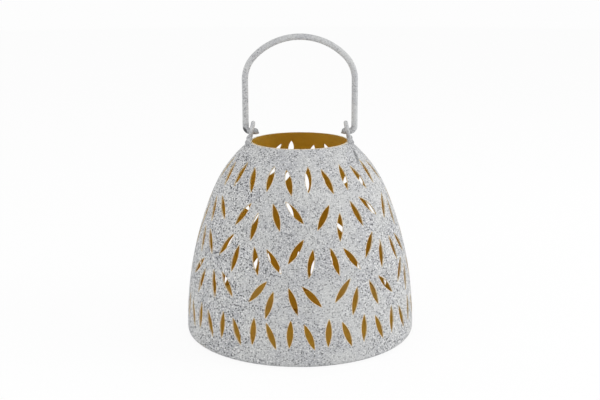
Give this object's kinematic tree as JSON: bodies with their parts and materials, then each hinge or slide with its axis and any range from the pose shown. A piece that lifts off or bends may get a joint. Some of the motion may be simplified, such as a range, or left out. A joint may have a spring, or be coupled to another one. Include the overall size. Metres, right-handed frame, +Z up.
{
  "type": "lantern",
  "caption": "Bell-shaped candle lantern of perforated painted sheet steel with leaf-shaped slots, an open mouth, a tealight cup and a swinging rod bail.",
  "frame": {"origin": "centre of the box's bottom, on the body's axis where the foot stands", "axes": "+Z up along the body's axis, the bail's ears on the X axis, the pictured front towards -Y"},
  "size_m": [0.2, 0.2, 0.259],
  "materials": {
    "shell_paint": "matte chalky off-white paint with dark grey speckle outside, gold paint inside",
    "wire_paint": "matte chalky off-white paint with dark grey speckle",
    "gold_paint": "satin antique gold paint"
  },
  "bodies": {
    "lantern": {"shell": "shell_paint", "floor_plate": "gold_paint", "floor_tacks": "gold_paint", "candle_cup": "gold_paint", "cup_rivet": "gold_paint", "left_ear": "wire_paint", "right_ear": "wire_paint", "left_ear_welds": "wire_paint", "right_ear_welds": "wire_paint"},
    "bail": {"bail": "wire_paint"}
  },
  "joints": [
    {"name": "bail_swing", "type": "hinge", "parent": "lantern", "child": "bail", "pos_m": [0, 0, 0.1761], "axis": [1, 0, 0], "range_deg": [-104, 104]}
  ]
}
